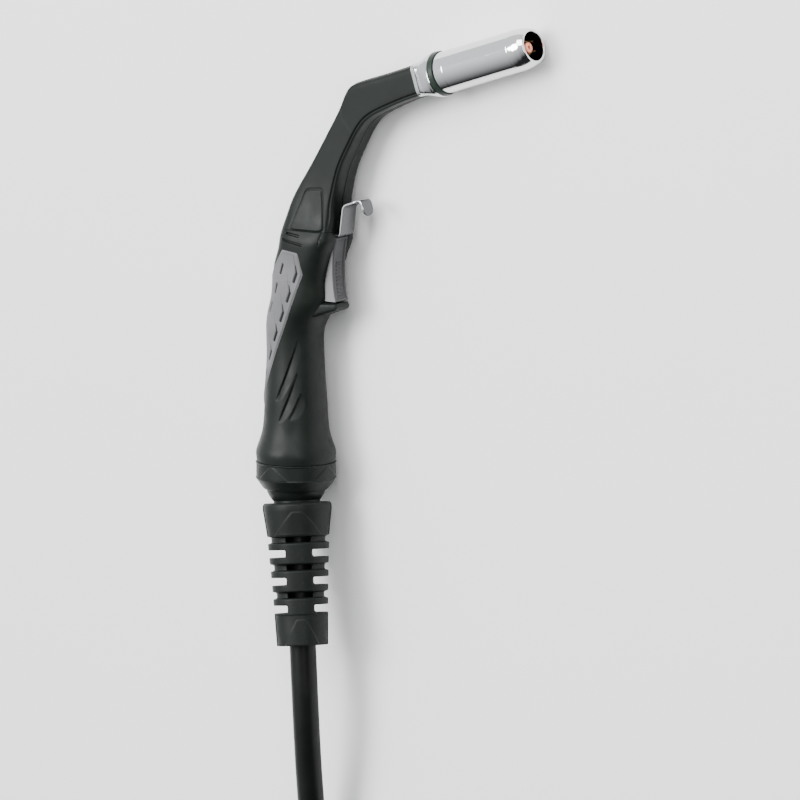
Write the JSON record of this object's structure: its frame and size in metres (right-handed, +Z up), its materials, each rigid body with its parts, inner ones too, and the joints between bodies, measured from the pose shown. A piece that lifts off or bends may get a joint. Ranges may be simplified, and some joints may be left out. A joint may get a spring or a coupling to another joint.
{
  "type": "mig welding torch",
  "caption": "Gas-cooled MIG torch with a bent neck, polished gas nozzle, grey grip and trigger, hanging hook, slotted boot, coiled cable and central connector.",
  "frame": {"origin": "on the surface that the torch lies on, under the middle of the torch and its boot, without the cable, its coil and its connector", "axes": "+X towards the trigger and the nozzle, +Y along the handle towards the nozzle, +Z up from the surface to the left side of the torch"},
  "size_m": [0.2698, 0.7177, 0.0783],
  "materials": {
    "plastic_dark": "fine satin grain",
    "grip_grey": "soft matt",
    "trigger_grey": "satin",
    "boot_rubber": "matt",
    "cable_jacket": "matt",
    "inner_core": "matt",
    "steel": "bright",
    "copper": "drawn copper",
    "brass": "machined",
    "liner_steel": "drawn wire",
    "chrome": "polished",
    "insulator": "satin",
    "plug_plastic": "satin"
  },
  "bodies": {
    "cable_side": {"cable_boot": "boot_rubber", "knuckle_retaining_ring": "steel", "cable_lead": "cable_jacket", "cable_coil": "cable_jacket", "cable_tail": "cable_jacket", "plug_bend_spring": "steel", "plug_housing_upper": "plug_plastic", "plug_housing_lower": "plug_plastic", "plug_face": "plug_plastic", "plug_centre_pin": "brass", "plug_o_ring": "cable_jacket", "liner_nut": "brass", "plug_screws": "steel"},
    "handle": {"handle_shell_left": "plastic_dark", "handle_shell_right": "plastic_dark", "neck_shell_left": "plastic_dark", "neck_shell_right": "plastic_dark", "rear_locking_ring": "plastic_dark", "ball_socket": "plastic_dark", "grip_insert_left": "grip_grey", "grip_insert_right": "grip_grey", "inner_cable_stub": "inner_core", "switch_leads": "inner_core", "shell_screws": "steel", "trigger_pin": "steel", "trigger_spring": "steel", "nozzle_spring_ring": "steel", "hanging_hook": "steel", "neck_conductor": "copper", "contact_tip": "copper", "power_block": "brass", "gas_diffuser": "brass", "wire_liner": "liner_steel", "neck_collar": "chrome", "insulator_ring": "insulator", "microswitch": "insulator"},
    "knuckle": {"ball_knuckle": "plastic_dark"},
    "trigger_lever": {"trigger": "trigger_grey"},
    "plunger": {"switch_plunger": "insulator"},
    "nozzle": {"gas_nozzle": "chrome"},
    "contacts": {"contact_pins": "brass"},
    "locking_nut": {"plug_locking_nut": "plug_plastic"}
  },
  "joints": [
    {"name": "knuckle_swivel", "type": "hinge", "parent": "cable_side", "child": "knuckle", "pos_m": [-0.07642, -0.09079, 0.02403], "axis": [-0.1229, 0.9832, -0.1353], "range_deg": [-180, 180]},
    {"name": "handle_tilt", "type": "hinge", "parent": "knuckle", "child": "handle", "pos_m": [-0.07642, -0.09079, 0.02403], "axis": [0.6074, -0.0333, -0.7937], "range_deg": [-27, 10]},
    {"name": "trigger_pull", "type": "hinge", "parent": "handle", "child": "trigger_lever", "pos_m": [-0.04792, 0.05059, 0.0181], "axis": [0, -0.0419, -0.9991], "range_deg": [0, 6], "stiffness_Nm_per_rad": 1.5, "springref_deg": -2.86},
    {"name": "plunger_press", "type": "slide", "parent": "handle", "child": "plunger", "axis": [-1, 0, 0], "range_m": [0, 0.003]},
    {"name": "nozzle_pull", "type": "slide", "parent": "handle", "child": "nozzle", "axis": [0.95, 0.3121, -0.0131], "range_m": [0, 0.075]},
    {"name": "contact_press", "type": "slide", "parent": "cable_side", "child": "contacts", "axis": [-1, 0, 0], "range_m": [0, 0.003], "stiffness_N_per_m": 500, "springref_m": -0.002},
    {"name": "nut_turn", "type": "hinge", "parent": "cable_side", "child": "locking_nut", "pos_m": [0.13089, -0.4996, 0.0548], "axis": [1, 0, 0], "continuous": true}
  ],
  "couplings": [
    {"joint": "plunger_press", "follows": "trigger_pull", "m_per_rad": 0.0285}
  ]
}
